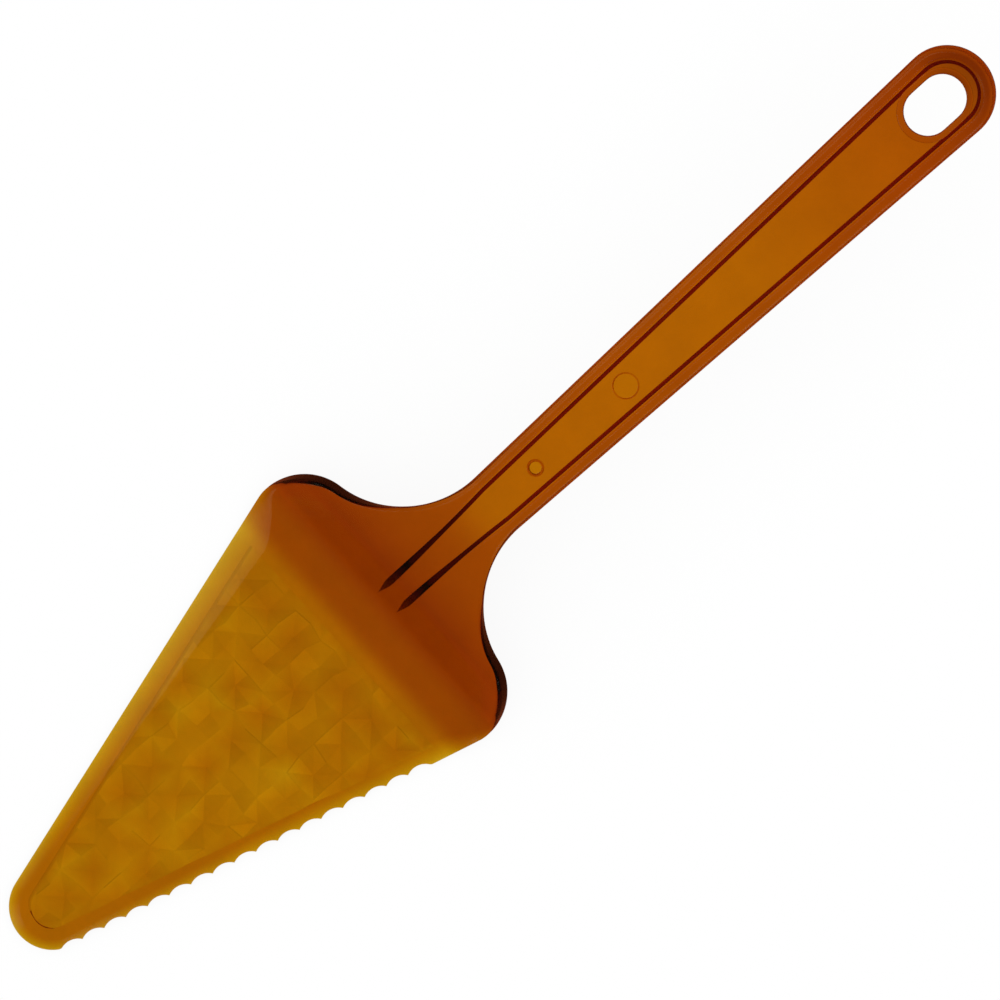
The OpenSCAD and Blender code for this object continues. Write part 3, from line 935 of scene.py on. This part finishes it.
# %% Helpers for the paper and the room
def colour_ramp(value, colour_stops):
    """A colour for each value from 0 to 1, smooth between the stops."""
    ramp = nodes.new("ShaderNodeValToRGB")
    elements = ramp.color_ramp.elements
    while len(elements) < len(colour_stops):
        elements.new(1.0)
    for element, (position, colour) in zip(elements, colour_stops):
        element.position = position
        element.color = colour
    links.new(value, ramp.inputs["Fac"])
    return ramp.outputs["Color"]


def axis(coordinate, letter):
    """X, Y or Z of a texture coordinate."""
    parts = nodes.new("ShaderNodeSeparateXYZ")
    links.new(coordinate, parts.inputs["Vector"])
    return parts.outputs[letter]


def shader_mix(factor, a, b):
    """Shader a where the factor is 0, shader b where it is 1."""
    both = nodes.new("ShaderNodeMixShader")
    links.new(factor, both.inputs["Fac"])
    links.new(a, both.inputs[1])
    links.new(b, both.inputs[2])
    return both.outputs["Shader"]


# %% White paper
paper = bpy.data.materials.new("white_paper")
paper.use_nodes = True
nodes, links = paper.node_tree.nodes, paper.node_tree.links
nodes.clear()
white, painted_amber_reflection = (1, 1, 1, 1), (0.32, 0.06, 0.02, 1)
far_end_from, far_end_to = 0.07, 0.14
far_end_tints_and_painted_shade = ((0.0, white), (0.5, (0.92, 0.74, 0.7, 1)),
                 (0.76, (0.82, 0.6, 0.5, 1)), (0.9, (0.5, 0.32, 0.3, 1)))
shadow_reach, shadow_seen, shadow_through = 0.05, 0.9, 0.66
ray = nodes.new("ShaderNodeLightPath")
spot = nodes.new("ShaderNodeTexCoord")
painted_shadow_ao = nodes.new("ShaderNodeAmbientOcclusion")
painted_shadow_ao.inputs["Distance"].default_value = shadow_reach
painted_shadow_ao.samples = 8
# Under the far end the paper seen through the plastic is browner: partly the darker plastic, partly painted
# shade.
far_end = map_range(axis(spot.outputs["Object"], "X"), 0.0, 1.0, far_end_from, far_end_to)
tinted_and_painted_shade = colour_ramp(far_end, far_end_tints_and_painted_shade)
shine = nodes.new("ShaderNodeEmission")
shine.inputs["Strength"].default_value = 1.0
# The deep amber that reflections see on the paper is a painted reflection.
painted_reflection = colour_mix(ray.outputs["Is Glossy Ray"], white, painted_amber_reflection)
links.new(colour_mix(ray.outputs["Is Transmission Ray"], painted_reflection, tinted_and_painted_shade), shine.inputs["Color"])
matt = nodes.new("ShaderNodeBsdfDiffuse")
matt.inputs["Color"].default_value = (0.9, 0.9, 0.9, 1)
# The Ambient Occlusion node paints a shadow round and under the server.
seen_share = map_range(painted_shadow_ao.outputs["AO"], shadow_seen, 1.0)
through_share = map_range(painted_shadow_ao.outputs["AO"], shadow_through, 1.0)
share = map_range(ray.outputs["Is Camera Ray"], 0.0, seen_share)
share = map_range(ray.outputs["Is Glossy Ray"], share, 1.0)
share = map_range(ray.outputs["Is Transmission Ray"], share, through_share)
surface = nodes.new("ShaderNodeOutputMaterial").inputs["Surface"]
links.new(shader_mix(share, matt.outputs["BSDF"], shine.outputs["Emission"]), surface)
floor_mesh.materials.append(paper)
print(len(nodes), "nodes in the paper")

# %% [markdown]
# ## Light and camera
#
# The light is plain and soft: two softboxes, one on each side, and a dim warm room. The softboxes don't
# show in reflections, because their edges would break up into dots on the narrow rails. What the gloss
# shows instead is a soft bright patch of the room, overhead on the plain side, which gives the bevel its
# pale sheen. Rays from the camera and rays through the plastic see the room as white. The photograph looks
# straight down, so the camera does too, from far away and turned so that the handle points up to the right.

# %% Room
world = bpy.data.worlds.new("studio")
bpy.context.scene.world = world
world.use_nodes = True
nodes, links = world.node_tree.nodes, world.node_tree.links
dim, bright = (0.06, 0.035, 0.02, 1), (0.55, 0.47, 0.24, 1)
patch_stops = ((0.04, dim), (0.22, bright), (0.33, bright), (0.6, dim))
patch_from, patch_full = -0.02, -0.07
way = nodes.new("ShaderNodeTexCoord").outputs["Generated"]
tip_side = map_range(axis(way, "X"), 0.0, 1.0, patch_from, patch_full)
patch = colour_mix(tip_side, dim, colour_ramp(axis(way, "Y"), patch_stops))
air = nodes["Background"]
links.new(patch, air.inputs["Color"])
wall = nodes.new("ShaderNodeBackground")
wall.inputs["Color"].default_value = white
ray = nodes.new("ShaderNodeLightPath")
seen = math_node("MAXIMUM", ray.outputs["Is Camera Ray"], ray.outputs["Is Transmission Ray"])
surroundings = shader_mix(seen, air.outputs["Background"], wall.outputs["Background"])
links.new(surroundings, nodes["World Output"].inputs["Surface"])
print(len(nodes), "nodes in the room")


# %% Softboxes
def softbox(name, place, width, height, radiance):
    """An area lamp that faces the server."""
    data = bpy.data.lights.new(name, "AREA")
    data.shape = "RECTANGLE"
    data.size = width
    data.size_y = height
    data.energy = radiance * math.pi * width * height
    lamp = bpy.data.objects.new(name, data)
    lamp.location = place
    lamp.rotation_euler = (-Vector(place)).to_track_quat("-Z", "Y").to_euler()
    lamp.visible_camera = False
    lamp.visible_glossy = False
    bpy.context.scene.collection.objects.link(lamp)
    print(f"{name}: {data.energy:.2f} W")


softbox("key_light", (-0.15, 0.95, 0.6), 0.5, 0.5, 0.4)
softbox("strip_light", (-0.18, -0.88, 0.44), 0.6, 0.45, 1.0)

# %% Camera
photo_px, mm_per_px, photo_turn = 1000, 0.20745, math.radians(42.24)
lens, sensor, level = 800.0, 36.0, 0.02
cam_data = bpy.data.cameras.new("camera")
cam_data.lens = lens
cam_data.sensor_width = sensor
cam_data.clip_end = 100
cam = bpy.data.objects.new("camera", cam_data)
bpy.context.scene.collection.objects.link(cam)
distance = photo_px * mm_per_px / 1000 / 2 / (sensor / 2 / lens)
cam.location = (0.0, 0.0, level + distance)
cam.rotation_euler = (0, 0, -photo_turn)
bpy.context.scene.camera = cam
bpy.context.scene.view_settings.view_transform = "Standard"
print(f"camera {distance:.2f} m above")
